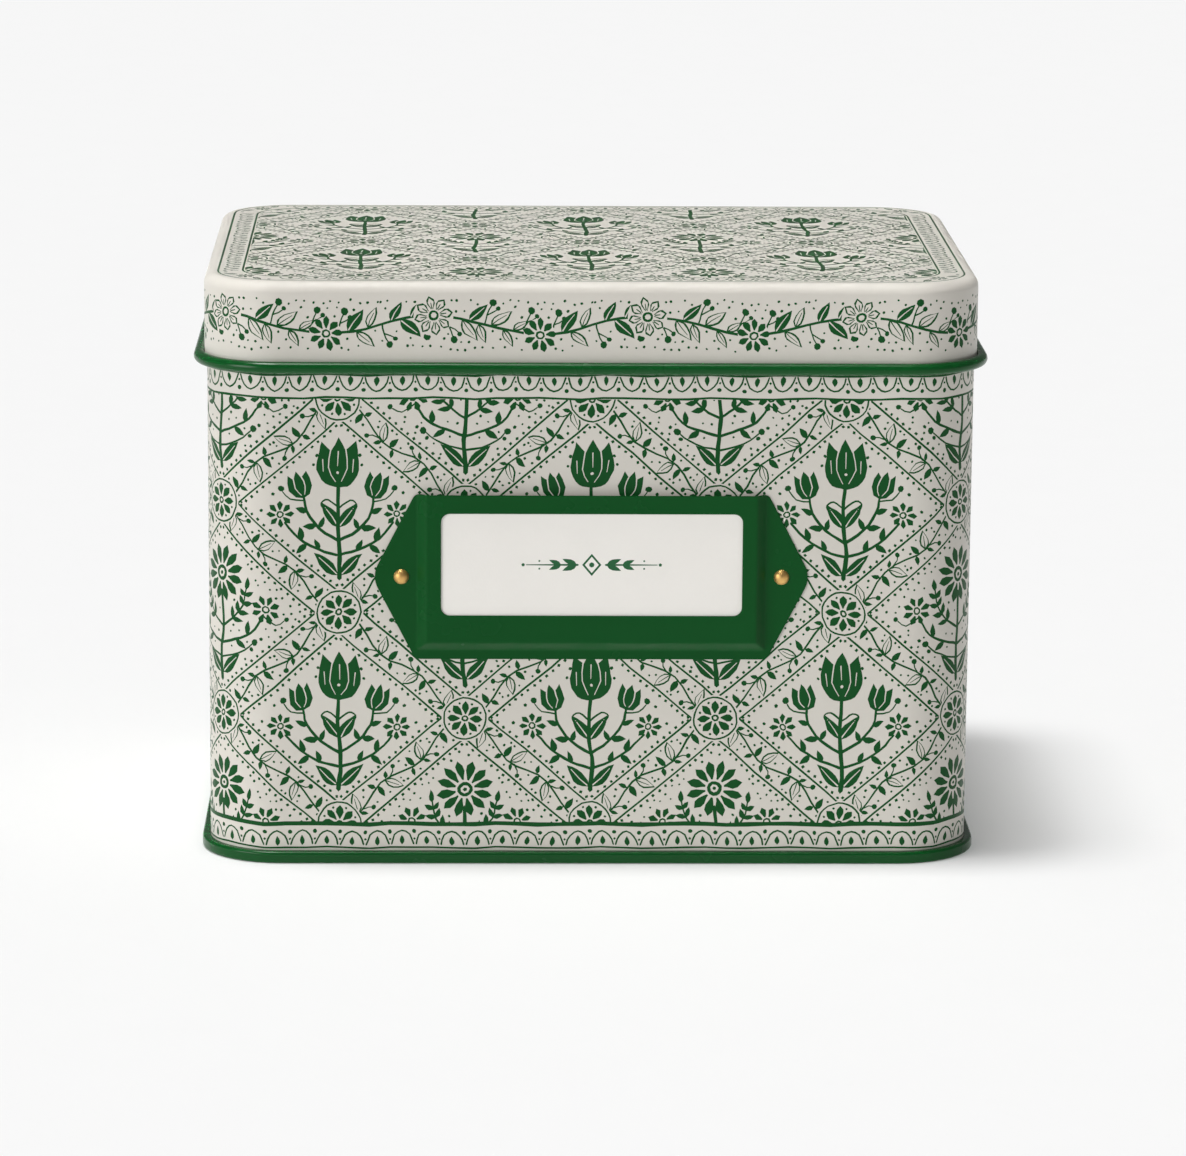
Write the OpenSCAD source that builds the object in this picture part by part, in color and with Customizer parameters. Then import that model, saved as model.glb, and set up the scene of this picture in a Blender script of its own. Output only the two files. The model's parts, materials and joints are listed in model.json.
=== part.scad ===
// Recipe card box: a printed tinplate box with a hinged lid and a riveted label pocket.
// It stands on z = 0 with its front towards -Y. The origin is under the middle of the box.

/* [Lid] */
// Width over the lid's skirt
lid_w = 178; // [140:1:240]
// Depth over the lid's skirt
lid_d = 128.5; // [100:0.5:180]
// Radius of the skirt's corners, seen from above
corner_r = 17.5; // [10:0.5:24]
// From the middle of the bead to the top of the lid
skirt_h = 19.45; // [14:0.05:28]
// Radius of the lid's top edge
top_edge_r = 2.5; // [1:0.1:4]
// Diameter of the rolled bead at the foot of the skirt
bead_d = 2.8; // [2.4:0.1:4]
// Gap between the skirt and the body
lid_gap = 0.3; // [0.2:0.05:0.6]

/* [Body] */
// Height of the closed box
box_h = 135.7; // [115:0.1:180]
// Thickness of the tinplate
sheet_t = 0.3; // [0.2:0.05:0.4]
// Diameter of the curl rolled inward round the mouth
curl_d = 2; // [1.4:0.1:3]
// Gap between the mouth and the closed lid
rest_gap = 0.2; // [0.1:0.05:0.5]
// Room left between neck and lid while the lid swings
swing_clear = 0.4; // [0.2:0.05:1]
// Width of the folded seam down the back
seam_w = 5; // [3:0.5:8]

/* [Base] */
// How far the base rim stands out from the body
rim_proud = 1.9; // [1.6:0.1:3]
// Height of the base rim
rim_h = 2.8; // [2.4:0.1:4]
// Radius of the base rim's corners
rim_r = 0.7; // [0.5:0.05:0.9]
// Height of the base panel's underside
panel_z = 3.2; // [3:0.1:6]
// Gap between the base rim and the wall that it grips
rim_gap = 0.1; // [0.05:0.05:0.2]

/* [Label pocket] */
// Length of the label frame over its two tips
label_w = 99.6; // [99:0.1:125]
// Height of the label frame
label_h = 38.7; // [30:0.1:60]
// Height of the middle of the label frame
label_z = 67.65; // [45:0.05:80]
// Thickness of the frame's sheet
label_t = 0.4; // [0.3:0.05:0.6]
// Width of the raised face
face_w = 75.8; // [50:0.1:78]
// How far the raised face stands out from the body
pocket_h = 2.6; // [1.8:0.1:2.7]
// Width of the slopes at both sides of the face
bevel_w = 2.5; // [1.5:0.1:4]
// Height of the slope under the face
bevel_h = 2.5; // [2:0.1:6]
// Height of the flat strip under that slope
foot_flat = 1.8; // [1:0.1:4]
// Radius of the frame's two tips
tip_r = 6; // [2:0.5:8]
// Width of the metal at both sides of the window
window_side = 3.4; // [2:0.05:8]
// Width of the metal over the window
window_edge = 4.25; // [2:0.05:8]
// Width of the flat metal under the window
window_foot = 6.35; // [3:0.05:10]
// Radius of the window's corners
window_r = 2; // [0.5:0.1:5]
// Thickness of the label card
card_t = 0.3; // [0.2:0.05:0.6]
// Gap round the card's edges in its pocket
card_gap = 0.25; // [0.1:0.05:0.6]
// Gap between the card and the raised face
face_gap = 0.05; // [0.02:0.01:0.2]

/* [Rivets] */
// Diameter of a label rivet's head
rivet_head_d = 3.5; // [2.6:0.1:5]
// Height of a label rivet's head
rivet_head_h = 1.1; // [0.6:0.1:1.7]
// Diameter of a label rivet's shank
rivet_d = 2; // [1.2:0.1:2.4]
// From a label rivet to the tip of the frame
rivet_inset = 6.2; // [3:0.1:6.6]
// Diameter of a hinge rivet's head
pin_head_d = 2.6; // [2:0.1:3.4]
// Height of a hinge rivet's head
pin_head_h = 0.7; // [0.4:0.1:1]
// Diameter of a hinge rivet's shank
pin_d = 1.4; // [0.8:0.1:1.8]
// Gap between a rivet's shank and its hole
rivet_gap = 0.05; // [0.02:0.01:0.1]

/* [Hinge] */
// From the side of the lid to the middle of a strap
hinge_inset = 45; // [38:1:60]
// Width of a strap
strap_w = 14; // [10:0.5:20]
// Thickness of a strap
strap_t = 0.5; // [0.3:0.05:0.6]
// Length of a strap's leaf below the hinge axis
leaf_h = 12; // [10:0.5:25]
// From the hinge axis down to the rivets of a strap
pin_drop = 8; // [5:0.5:8.5]
// Distance between the two rivets of a strap
pin_pitch = 7; // [5:0.5:7.5]
// Gap between the wire and a strap's eye, all round
eye_gap = 0.06; // [0.03:0.01:0.1]
// Gap between the wire and the bead that holds it
wire_gap = 0.1; // [0.05:0.01:0.15]
// Length of wire beyond each strap
wire_end = 12; // [6:0.5:14]
// Gap beside a strap in the notch that is cut for it
notch_gap = 0.6; // [0.3:0.1:1.5]
// Gap over a strap's eye in that notch
notch_over = 0.35; // [0.25:0.05:0.6]
// Angle to which the lid opens
open_angle = 110; // [100:1:120]
// How far the stop lip reaches past the notch's edge when the lid is open
lip_over = 0.5; // [0.3:0.1:1]
// Gap between the stop lip and the open lid
stop_gap = 0.1; // [0.05:0.01:0.3]

/* [Hidden] */
$fn = 64;
eps = 0.01;
cut = 1;

// Middles of the corners, which lid, body and base share, and the body inside the skirt
corner_at = [lid_w / 2 - corner_r, lid_d / 2 - corner_r];
body_r = corner_r - sheet_t - lid_gap;
body_y = corner_at[1] + body_r;

// Bead, lap of the lid's top on its edge, hinge axis and the front bead's turn about it
bead_r = bead_d / 2;
bead_z = box_h - skirt_h;
top_lap = 0.5;
bead_end = 130;
axis_y = lid_d / 2 - sheet_t + bead_r;
axis_out = lid_gap + bead_r;
swing_r = axis_y + lid_d / 2 - sheet_t;
swing_in = swing_r - sqrt(swing_r * swing_r - skirt_h * skirt_h);

// Neck, set in by whole hundredths of a millimetre, and mouth
neck_in = ceil(100 * (swing_in + swing_clear - lid_gap)) / 100;
shoulder_z = bead_z - sheet_t;
neck_z = shoulder_z + neck_in;
curl_r = curl_d / 2;
curl_end = 300;
mouth_z = box_h - sheet_t - rest_gap;

// Base rim, the flange that it grips and the foot of the seam over it
rim_back = 2 * sheet_t + rim_gap;
flange_w = rim_proud - 3 * sheet_t;
flange_z = (rim_h - sheet_t) / 2;
seam_foot = max(panel_z, rim_h) + 2 * sheet_t;

// Label pocket, in heights above the frame's foot
corner_x = face_w / 2 + bevel_w;
face_foot = foot_flat + bevel_h;
side_skin = label_t * norm([bevel_w, pocket_h]) / pocket_h;
foot_skin = label_t * norm([bevel_h, pocket_h]) / pocket_h;
window_w = face_w - 2 * window_side;
window_h = label_h - face_foot - window_edge - window_foot;
rivet_x = label_w / 2 - rivet_inset;
label_foot = label_z - label_h / 2;

// Hinge wire, eye, notch and stop lip, about the hinge axis
hinge_x = lid_w / 2 - hinge_inset;
wire_r = bead_r - sheet_t - wire_gap;
eye_r = wire_r + eye_gap;
eye_out = eye_r + strap_t;
lip_r = strap_t / 2;
lip_turn = -60;
mouth_turn = -160;
skirt_out = bead_r - sheet_t;
notch_top = eye_out + notch_over;
lip_reach = notch_top * sin(open_angle) - skirt_out * cos(open_angle) + lip_over;
lip_back = skirt_out - stop_gap - lip_r;
lip_z = (lip_reach * cos(open_angle) + lip_back) / sin(open_angle);

cream = [0.87, 0.84, 0.79];
green = [0.11, 0.31, 0.16];
brass = [0.80, 0.62, 0.30];
steel = [0.68, 0.69, 0.70];
paper = [0.93, 0.91, 0.87];

// Carries a profile round corners of radius r, its x outward and its y up
module around(r) {
    for (k = [0 : 3]) {
        out = corner_at[k % 2];
        along = corner_at[(k + 1) % 2];
        rotate([0, 0, 90 * k])
            translate([out, along, 0]) {
                rotate([90, 0, 0])
                    linear_extrude(2 * along)
                        translate([r, 0])
                            children();
                rotate_extrude(angle = 90)
                    translate([r, 0])
                        children();
            }
    }
}

// Flat rectangle with corners of radius r about the given middles
module rounded(middles, r) {
    square(2 * [middles[0] + r, middles[1]], center = true);
    square(2 * [middles[0], middles[1] + r], center = true);
    for (sx = [-1, 1], sy = [-1, 1])
        translate([sx * middles[0], sy * middles[1]])
            circle(r);
}

// The same, given by its width and height
module round_rect(w, h, r) {
    rounded([w / 2 - r, h / 2 - r], r);
}

// Rolled edge: a ring of sheet, open between the two angles
module roll(r, t, open_from, open_to) {
    middle = (open_from + open_to) / 2;
    difference() {
        circle(r);
        circle(r - t);
        polygon([[0, 0], 2 * r * [cos(open_from), sin(open_from)],
                 3 * r * [cos(middle), sin(middle)],
                 2 * r * [cos(open_to), sin(open_to)]]);
    }
}

// Rivet along Z: domed head above z = 0, shank and formed tail below
module rivet(head_d, head_h, shank_d, grip) {
    dome_r = (head_d * head_d / 4 + head_h * head_h) / (2 * head_h);
    tail_r = (head_d + shank_d) / 4;
    tail_h = head_h / 2;
    rotate_extrude() {
        intersection() {
            translate([0, head_h - dome_r]) circle(dome_r);
            square([head_d / 2, head_h]);
        }
        translate([0, -grip - tail_h]) square([shank_d / 2, grip + tail_h + eps]);
        translate([0, -grip - tail_h]) square([tail_r, tail_h]);
    }
}

// Turns +Z towards the front and sets z = 0 on the body's front wall
module on_front(x, z, proud) {
    translate([x, -body_y - proud, z])
        rotate([90, 0, 0])
            children();
}

// Turns +Z towards the back and sets z = 0 on the body's back wall
module on_back(x, z, proud) {
    translate([x, body_y + proud, z])
        rotate([-90, 0, 0])
            children();
}

// Places something at both rivets of a strap
module at_pins(x, proud) {
    for (side = [-1, 1])
        on_back(x + side * pin_pitch / 2, bead_z - pin_drop, proud)
            children();
}

// Section of the wall: flange, wall, shoulder, neck and curled mouth
module wall_profile() {
    translate([-sheet_t, flange_z]) square([sheet_t + flange_w, sheet_t]);
    translate([-sheet_t, flange_z]) square([sheet_t, shoulder_z - flange_z]);
    polygon([[0, shoulder_z], [-neck_in, neck_z],
             [-neck_in - sheet_t, neck_z], [-sheet_t, shoulder_z]]);
    translate([-neck_in - sheet_t, neck_z]) square([sheet_t, mouth_z - curl_r - neck_z]);
    translate([-neck_in - curl_r, mouth_z - curl_r]) roll(curl_r, sheet_t, curl_end, 360);
}

module body_wall() {
    color(cream) difference() {
        union() {
            around(body_r) wall_profile();
            // Folded seam where the sheet's two ends meet
            translate([-seam_w / 2, body_y - 3 * sheet_t, seam_foot])
                cube([seam_w, 2 * sheet_t + eps, shoulder_z - seam_foot]);
        }
        for (side = [-1, 1]) {
            on_front(side * rivet_x, label_z, -cut)
                cylinder(r = rivet_d / 2 + rivet_gap, h = 2 * cut);
            at_pins(side * hinge_x, -cut)
                cylinder(r = pin_d / 2 + rivet_gap, h = 2 * cut);
        }
    }
}

// Section of the base: a rim rolled round the wall's flange, open where the wall enters
module rim_profile() {
    w = rim_back + rim_proud;
    middle = [(rim_proud - rim_back) / 2, rim_h / 2];
    difference() {
        translate(middle) round_rect(w, rim_h, rim_r);
        translate(middle) round_rect(w - 2 * sheet_t, rim_h - 2 * sheet_t, rim_r - sheet_t);
        translate([-sheet_t - rim_gap, rim_h / 2]) square([sheet_t + 2 * rim_gap, rim_h]);
    }
    translate([-rim_back, rim_r]) square([sheet_t, panel_z + sheet_t - rim_r]);
}

module base_panel() {
    color(green) {
        around(body_r) rim_profile();
        translate([0, 0, panel_z])
            linear_extrude(sheet_t)
                rounded(corner_at, body_r - rim_back + sheet_t / 2);
    }
}

// Outline of the label frame about its middle, with rounded tips
module frame_outline() {
    rise = label_h / 2;
    // The sharp tip lies beyond the round one by tip_r * (1 / sin(half) - 1)
    half = atan2(rise, label_w / 2 - corner_x);
    sharp_x = label_w / 2 + tip_r * (1 / sin(half) - 1);
    touch = tip_r / tan(half);
    for (side = [-1, 1])
        mirror([side < 0 ? 1 : 0, 0]) {
            polygon([[0, -rise], [corner_x, -rise],
                     [sharp_x - touch * cos(half), -touch * sin(half)],
                     [sharp_x - touch * cos(half), touch * sin(half)],
                     [corner_x, rise], [0, rise]]);
            translate([label_w / 2 - tip_r, 0]) circle(tip_r);
        }
}

// Sloping-sided block of the pocket: skins of 0 give its outside, others its inside
module pocket_block(in_side, in_foot, in_face, over) {
    high = pocket_h - in_face;
    side_x = corner_x - in_side;
    face_x = side_x - bevel_w * high / pocket_h;
    foot_y = foot_flat + in_foot;
    face_y = foot_y + bevel_h * high / pocket_h;
    low = -over;
    intersection() {
        translate([0, label_h + over, 0])
            rotate([90, 0, 0])
                linear_extrude(label_h + over)
                    polygon([[-side_x, low], [side_x, low], [side_x, 0],
                             [face_x, high], [-face_x, high], [-side_x, 0]]);
        translate([-corner_x, 0, 0])
            rotate([90, 0, 90])
                linear_extrude(2 * corner_x)
                    polygon([[foot_y, low], [label_h + over, low], [label_h + over, high],
                             [face_y, high], [foot_y, 0]]);
    }
}

module label_frame() {
    color(green)
        on_front(0, label_foot, 0)
            difference() {
                union() {
                    translate([0, label_h / 2, 0]) linear_extrude(label_t) frame_outline();
                    pocket_block(0, 0, 0, 0);
                }
                pocket_block(side_skin, foot_skin, label_t, cut);
                translate([0, face_foot + window_foot + window_h / 2, 0])
                    linear_extrude(pocket_h + cut)
                        round_rect(window_w, window_h, window_r);
                for (side = [-1, 1])
                    translate([side * rivet_x, label_h / 2, -cut])
                        cylinder(r = rivet_d / 2 + rivet_gap, h = label_t + 2 * cut);
            }
}

module label_card() {
    inner_x = corner_x - side_skin - bevel_w * (pocket_h - label_t) / pocket_h;
    inner_y = foot_flat + foot_skin + bevel_h * (pocket_h - label_t) / pocket_h;
    color(paper)
        on_front(0, label_foot, pocket_h - label_t - card_t - face_gap)
            translate([-inner_x + card_gap, inner_y + card_gap, 0])
                cube([2 * (inner_x - card_gap), label_h - inner_y - 2 * card_gap, card_t]);
}

module label_rivet(side) {
    color(brass)
        on_front(side * rivet_x, label_z, label_t)
            rivet(rivet_head_d, rivet_head_h, rivet_d, label_t + sheet_t);
}

module label_rivet_left() { label_rivet(-1); }

module label_rivet_right() { label_rivet(1); }

// Section of a strap about the hinge axis: leaf, rolled eye and stop lip, x backward
module strap_profile() {
    lip_from = (eye_r + lip_r) * [cos(lip_turn), sin(lip_turn)];
    along = ([lip_reach, lip_z] - lip_from) / norm([lip_reach, lip_z] - lip_from);
    across = lip_r * [-along[1], along[0]];
    translate([-axis_out, -leaf_h]) square([strap_t, leaf_h]);
    difference() {
        union() {
            roll(eye_out, strap_t, mouth_turn, lip_turn);
            polygon([lip_from + across, lip_from - across,
                     [lip_reach, lip_z] - across, [lip_reach, lip_z] + across]);
        }
        circle(eye_r);
    }
    translate([lip_reach, lip_z]) circle(lip_r);
}

module hinge_strap(side) {
    color(steel)
        difference() {
            translate([side * hinge_x - strap_w / 2, axis_y, bead_z])
                rotate([90, 0, 90])
                    linear_extrude(strap_w)
                        strap_profile();
            at_pins(side * hinge_x, -cut)
                cylinder(r = pin_d / 2 + rivet_gap, h = strap_t + 2 * cut);
        }
}

module hinge_strap_left() { hinge_strap(-1); }

module hinge_strap_right() { hinge_strap(1); }

module hinge_rivets() {
    color(steel)
        for (side = [-1, 1])
            at_pins(side * hinge_x, strap_t)
                rivet(pin_head_d, pin_head_h, pin_d, strap_t + sheet_t);
}

// Section of the lid: rolled bead, skirt, rounded top edge and the margin of the top
module skirt_profile() {
    translate([skirt_out, bead_z]) roll(bead_r, sheet_t, bead_end, 180);
    translate([-sheet_t, bead_z]) square([sheet_t, skirt_h - top_edge_r]);
    translate([-top_edge_r, box_h - top_edge_r])
        intersection() {
            difference() {
                circle(top_edge_r);
                circle(top_edge_r - sheet_t);
            }
            square(top_edge_r);
        }
    translate([-top_edge_r, box_h - top_edge_r])
        translate([-2 * top_lap, top_edge_r - sheet_t])
            square([2 * top_lap, sheet_t]);
}

module lid_shell() {
    notch_w = strap_w + 2 * notch_gap;
    color(cream) difference() {
        union() {
            around(corner_r) skirt_profile();
            translate([0, 0, box_h - top_edge_r])
                translate([0, 0, top_edge_r - sheet_t])
                    linear_extrude(sheet_t)
                        rounded(corner_at, corner_r - top_edge_r - top_lap);
        }
        for (side = [-1, 1])
            translate([side * hinge_x - notch_w / 2, lid_d / 2 - sheet_t - eps,
                       bead_z - bead_d])
                cube([notch_w, bead_d + sheet_t, bead_d + notch_top]);
    }
}

module hinge_wire() {
    wire_l = 2 * (hinge_x + strap_w / 2 + wire_end);
    color(steel)
        translate([-wire_l / 2, axis_y, bead_z])
            rotate([0, 90, 0])
                cylinder(r = wire_r, h = wire_l);
}

body_wall();
base_panel();
label_frame();
label_card();
label_rivet_left();
label_rivet_right();
hinge_strap_left();
hinge_strap_right();
hinge_rivets();
lid_shell();
hinge_wire();
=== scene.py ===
import json
import math
import random

import bpy
import numpy as np
from mathutils import Matrix, Vector
from mathutils.geometry import delaunay_2d_cdt

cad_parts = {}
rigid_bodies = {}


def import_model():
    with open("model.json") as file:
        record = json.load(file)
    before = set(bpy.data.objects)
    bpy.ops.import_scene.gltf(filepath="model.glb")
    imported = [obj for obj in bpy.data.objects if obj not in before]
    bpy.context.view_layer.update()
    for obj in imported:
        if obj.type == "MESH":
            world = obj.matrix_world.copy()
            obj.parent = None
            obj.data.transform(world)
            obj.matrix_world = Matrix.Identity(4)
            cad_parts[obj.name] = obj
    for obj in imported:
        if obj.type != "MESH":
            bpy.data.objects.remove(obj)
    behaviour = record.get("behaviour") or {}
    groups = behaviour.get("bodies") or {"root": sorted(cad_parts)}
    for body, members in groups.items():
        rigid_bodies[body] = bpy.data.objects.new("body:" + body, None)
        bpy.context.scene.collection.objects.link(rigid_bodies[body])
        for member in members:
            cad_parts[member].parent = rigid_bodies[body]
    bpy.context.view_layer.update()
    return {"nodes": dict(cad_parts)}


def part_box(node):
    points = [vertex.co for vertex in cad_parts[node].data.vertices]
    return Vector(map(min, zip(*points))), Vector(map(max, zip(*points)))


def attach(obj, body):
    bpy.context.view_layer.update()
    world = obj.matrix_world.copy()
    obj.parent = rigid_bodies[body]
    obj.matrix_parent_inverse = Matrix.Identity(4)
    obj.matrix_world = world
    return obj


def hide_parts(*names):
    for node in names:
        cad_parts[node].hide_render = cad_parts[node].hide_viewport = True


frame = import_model()

# Lengths are in millimetres until a mesh is made. Seen from above, lid and body are rounded rectangles
# whose corners have their middles at CX, CY. R_BODY and R_LID are the radii of their outer faces there,
# and R_TOP that of the lid's flat top.
CX, CY = 71.5, 46.75
R_BODY, R_LID, R_TOP = 16.9, 17.5, 15.0
SHEET = .3
LID_TOP, BEAD_Z = 135.7, 116.25
METRES, MILLIMETRES = .001, 1000


def length_round(r):
    """Length round the outline whose corners have radius r."""
    return 4 * (CX + CY) + 2 * math.pi * r


# Artwork: a list of shapes, each an outline and its ink, 1 for printed and 0 for bare. A later shape
# covers an earlier one. SCALLOP is the pitch and the depth of a border's scallops, and BACK_GAP is what
# stays bare on each side of the middle of the back.
SCALLOP, BACK_GAP = 5.8, 2.6


def spline(points, per):
    """A smooth curve through the points, with per steps from each to the next."""
    p = np.array(points, float)
    q = np.vstack([2 * p[0] - p[1], p, 2 * p[-1] - p[-2]])
    t = np.linspace(0, 1, per, endpoint=False)[:, None]
    out = []
    for i in range(len(p) - 1):
        a, b, c, d = q[i:i + 4]
        out.append(0.5 * (2 * b + (c - a) * t + (2 * a - 5 * b + 4 * c - d) * t ** 2
                          + (3 * b - a - 3 * c + d) * t ** 3))
    return np.vstack(out + [p[-1:]])


def stroke(points, w0, w1=None, per=4, ink=1):
    """A line drawn through the points, whose width runs from w0 to w1."""
    c = spline(points, per)
    w = np.linspace(w0, w0 if w1 is None else w1, len(c))[:, None] / 2
    t = np.gradient(c, axis=0)
    t /= np.linalg.norm(t, axis=1)[:, None]
    n = np.stack([-t[:, 1], t[:, 0]], 1)
    return [(np.vstack([c - n * w, c[-1:] + t[-1:] * w[-1], (c + n * w)[::-1],
                        c[:1] - t[:1] * w[0]]), ink)]


def disc(x, y, r, ink=1, n=0):
    """A dot: a polygon of about the circle's area, with n corners or as many as its size needs."""
    n = n or (4 if r < .3 else 5 if r < .5 else 7 if r < 1.1 else 12 if r < 3 else 26)
    a = np.arange(n) * 2 * math.pi / n + x * 3.7 + y
    r *= 1 + 1.6 / n ** 2
    return [(np.stack([x + r * np.cos(a), y + r * np.sin(a)], 1), ink)]


def put(shapes, x=0, y=0, turn=0, size=1, flip=1):
    """The shapes mirrored if flip is -1, then enlarged, turned by degrees and moved to x, y."""
    a = math.radians(turn)
    m = np.array([[math.cos(a), -math.sin(a)], [math.sin(a), math.cos(a)]])
    return [(((p * [flip, 1]) * size) @ m.T + [x, y], ink) for p, ink in shapes]


def leaf(x, y, turn, long, wide, bend=0.0, ink=1, n=0, e=0.8):
    """A pointed leaf or petal, from its foot at x, y. A larger e moves its widest part to the tip."""
    n = n or (2 if long < 3 else 3 if long < 5.5 else 5)
    t = np.linspace(0, 1, n + 2)
    half = wide / 2 * np.sin(math.pi * t ** e)
    mid = bend * long * np.sin(math.pi * t * .6) * t
    low = np.stack([long * t, mid - half], 1)
    top = np.stack([long * t, mid + half], 1)
    return put([(np.vstack([low, top[-2:0:-1]]), ink)], x, y, turn)


def line_leaf(x, y, turn, long, wide, bend=0.0, line=.36, e=0.8, vein=1):
    """A leaf drawn as an outline, with a short vein."""
    a = math.radians(turn)
    k = 1 - 2.6 * line / long
    out = leaf(x, y, turn, long, wide, bend, e=e)
    out += leaf(x + 1.3 * line * math.cos(a), y + 1.3 * line * math.sin(a), turn, long * k,
                wide - 2 * line, bend * k, ink=0, e=e)
    if vein:
        out += put(stroke([(0, 0), (long * .35, bend * long * .2), (long * .72, bend * long * .66)],
                          line * .8, line * .4, 1), x, y, turn)
    return out


def fat_leaf(x, y, turn, long, wide, bend=0.0):
    """A full leaf with a bare vein."""
    vein = stroke([(long * .08, 0), (long * .4, bend * long * .26), (long * .8, bend * long * .76)],
                  .3, .15, 1, 0)
    return leaf(x, y, turn, long, wide, bend, n=5) + put(vein, x, y, turn)


def daisy(x, y, r, count, fat=.62, turn=0.0, lined=False):
    """A flower of count petals, which are full or, if lined, outlined."""
    out = []
    wide = fat * 4.9 * r / count
    for k in range(count):
        a = turn + 360 * k / count
        c, s = math.cos(math.radians(a)), math.sin(math.radians(a))
        if lined:
            out += line_leaf(x + r * .2 * c, y + r * .2 * s, a, r * .82, wide, 0, .34, 1.5, 0)
            out += put(stroke([(r * .4, 0), (r * .68, 0)], .28, .2, 1), x, y, a)
        else:
            out += leaf(x + r * .24 * c, y + r * .24 * s, a, r * .78, wide, 0, e=1.5)
    out += disc(x, y, r * .34, 0) + disc(x, y, r * .27) + disc(x, y, r * .15, 0)
    if r > 5:
        out += disc(x, y, r * .07)
    return out


def tulip(x, y, turn, size):
    """A tulip of height size on its foot, with petals parted by bare lines."""
    large = size > 7
    side = spline([(0, 0), (.26, .08), (.42, .36), (.4, .66), (.34, .95)], 3 if large else 1)
    right = np.vstack([side, [(.22, .82), (.14, .75), (.08, .88)]])
    out = [(np.vstack([right, [(0, 1.02)], (right * [-1, 1])[:0:-1]]), 1)]
    w = .3 / size
    for m in (1, -1):
        out += put(stroke([(.06, .12), (.19, .4), (.15, .78)], w * .6, w, 2, 0), flip=m)
        if large:
            out += put(stroke([(.29, .32), (.31, .58)], w * .5, w * .8, 1, 0), flip=m)
    if large:
        out += stroke([(0, .44), (0, .74)], w * .5, w * .9, 1, 0) + disc(0, .31, .36 / size, 0, 5)
    return put(out, x, y, turn, size)


def tulip_sprig():
    """One large tulip on a stem, with two small ones, two daisies, leaves and berries."""
    g = []
    for m in (1, -1):
        h = stroke([(0, -8.2), (4.4, -5.4), (7.4, -1.4), (8.0, 2.0)], .75, .55, 3)
        h += tulip(8.0, 1.8, -14, 6.4)
        h += stroke([(.2, -11.6), (4.6, -10.2), (9.2, -7.4), (12.4, -3.9)], .7, .5, 3)
        h += daisy(13.4, -1.9, 3.1, 8, .7)
        h += fat_leaf(.2, -16.2, 38, 7.4, 2.7, .12)
        h += fat_leaf(0, -5.0, 62, 7.0, 2.7, -.12)
        h += leaf(5.0, -4.9, -6, 3.4, 1.6, .1) + leaf(7.2, -1.6, 16, 3.0, 1.4, .1)
        h += leaf(7.0, -8.8, -38, 3.4, 1.5) + leaf(8.2, -8.1, 74, 3.4, 1.5)
        h += leaf(4.5, -5.4, 112, 3.0, 1.3) + leaf(4.2, -10.4, 66, 3.0, 1.3)
        h += stroke([(0, -.4), (2.5, 1.4), (4.0, .6), (3.5, -.7), (2.6, -.3)], .45, .3, 3)
        h += stroke([(7.9, 1.2), (11, 1.6), (12.6, 3.4)], .4, .3, 2) + disc(12.9, 4.2, .75)
        h += disc(14.9, 3.0, .42) + disc(4.9, 11.8, .42) + disc(5.5, 9.6, .36) + disc(17.7, -1.0, .4)
        g += put(h, flip=m)
    g += stroke([(0, -17), (.35, -11), (-.25, -3), (0, 6)], 1.1, .8)
    return g + tulip(0, 4.2, 0, 11.4)


def daisy_sprig():
    """One large daisy on a stem, with two small ones, leafy twigs and berries."""
    g = []
    for m in (1, -1):
        h = stroke([(0, -8.6), (4.2, -7.2), (8.4, -5.2), (11.0, -1.8)], .7, .5, 3)
        h += daisy(12.0, .4, 3.4, 8, .7, 20)
        h += stroke([(.1, -4.4), (3.4, -2.2), (6.4, 1.0), (7.6, 5.2)], .6, .35, 3)
        for k, (x, y, a) in enumerate([(3.2, -2.3, -8), (5.0, -.7, -2), (6.4, 1.2, 12), (7.1, 3.2, 26)]):
            h += leaf(x, y, a, 3.3 - .3 * k, 1.3) + leaf(x, y, a + 92, 3.1 - .3 * k, 1.25)
        h += leaf(7.6, 4.8, 82, 3.0, 1.25)
        h += fat_leaf(.2, -15.6, 38, 7.4, 2.7, .1)
        h += stroke([(.1, -11.8), (3.6, -11.0), (7, -9.4), (8.8, -7.8)], .5, .35, 2)
        h += disc(9.5, -7.3, .8) + disc(8.7, -9.0, .5) + disc(11.0, -6.4, .45)
        h += leaf(4.4, -7.2, -32, 3.4, 1.5) + leaf(7.4, -5.9, 84, 3.4, 1.4)
        h += stroke([(11.4, -1), (14.4, -3), (16.4, -2)], .38, .3, 2) + disc(17.0, -1.6, .6)
        g += put(h, flip=m)
    g += stroke([(0, -17), (-.4, -11), (.3, -4), (0, 4)], 1.1, .8)
    return g + daisy(0, 8.2, 6.6, 12, .78, 15)


def rosette():
    """Eight petals and eight dots in a ring."""
    g = disc(0, 0, 5.5, 0) + disc(0, 0, 5.15) + disc(0, 0, 4.75, 0)
    for k in range(8):
        petal = leaf(.9, 0, 0, 3.3, 1.8, 0, e=1.35, n=3)
        g += put(petal + put(disc(3.9, 0, .3), turn=22.5), turn=45 * k)
    return g + disc(0, 0, 1.15, 0) + disc(0, 0, .85) + disc(0, 0, .4, 0)


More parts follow.
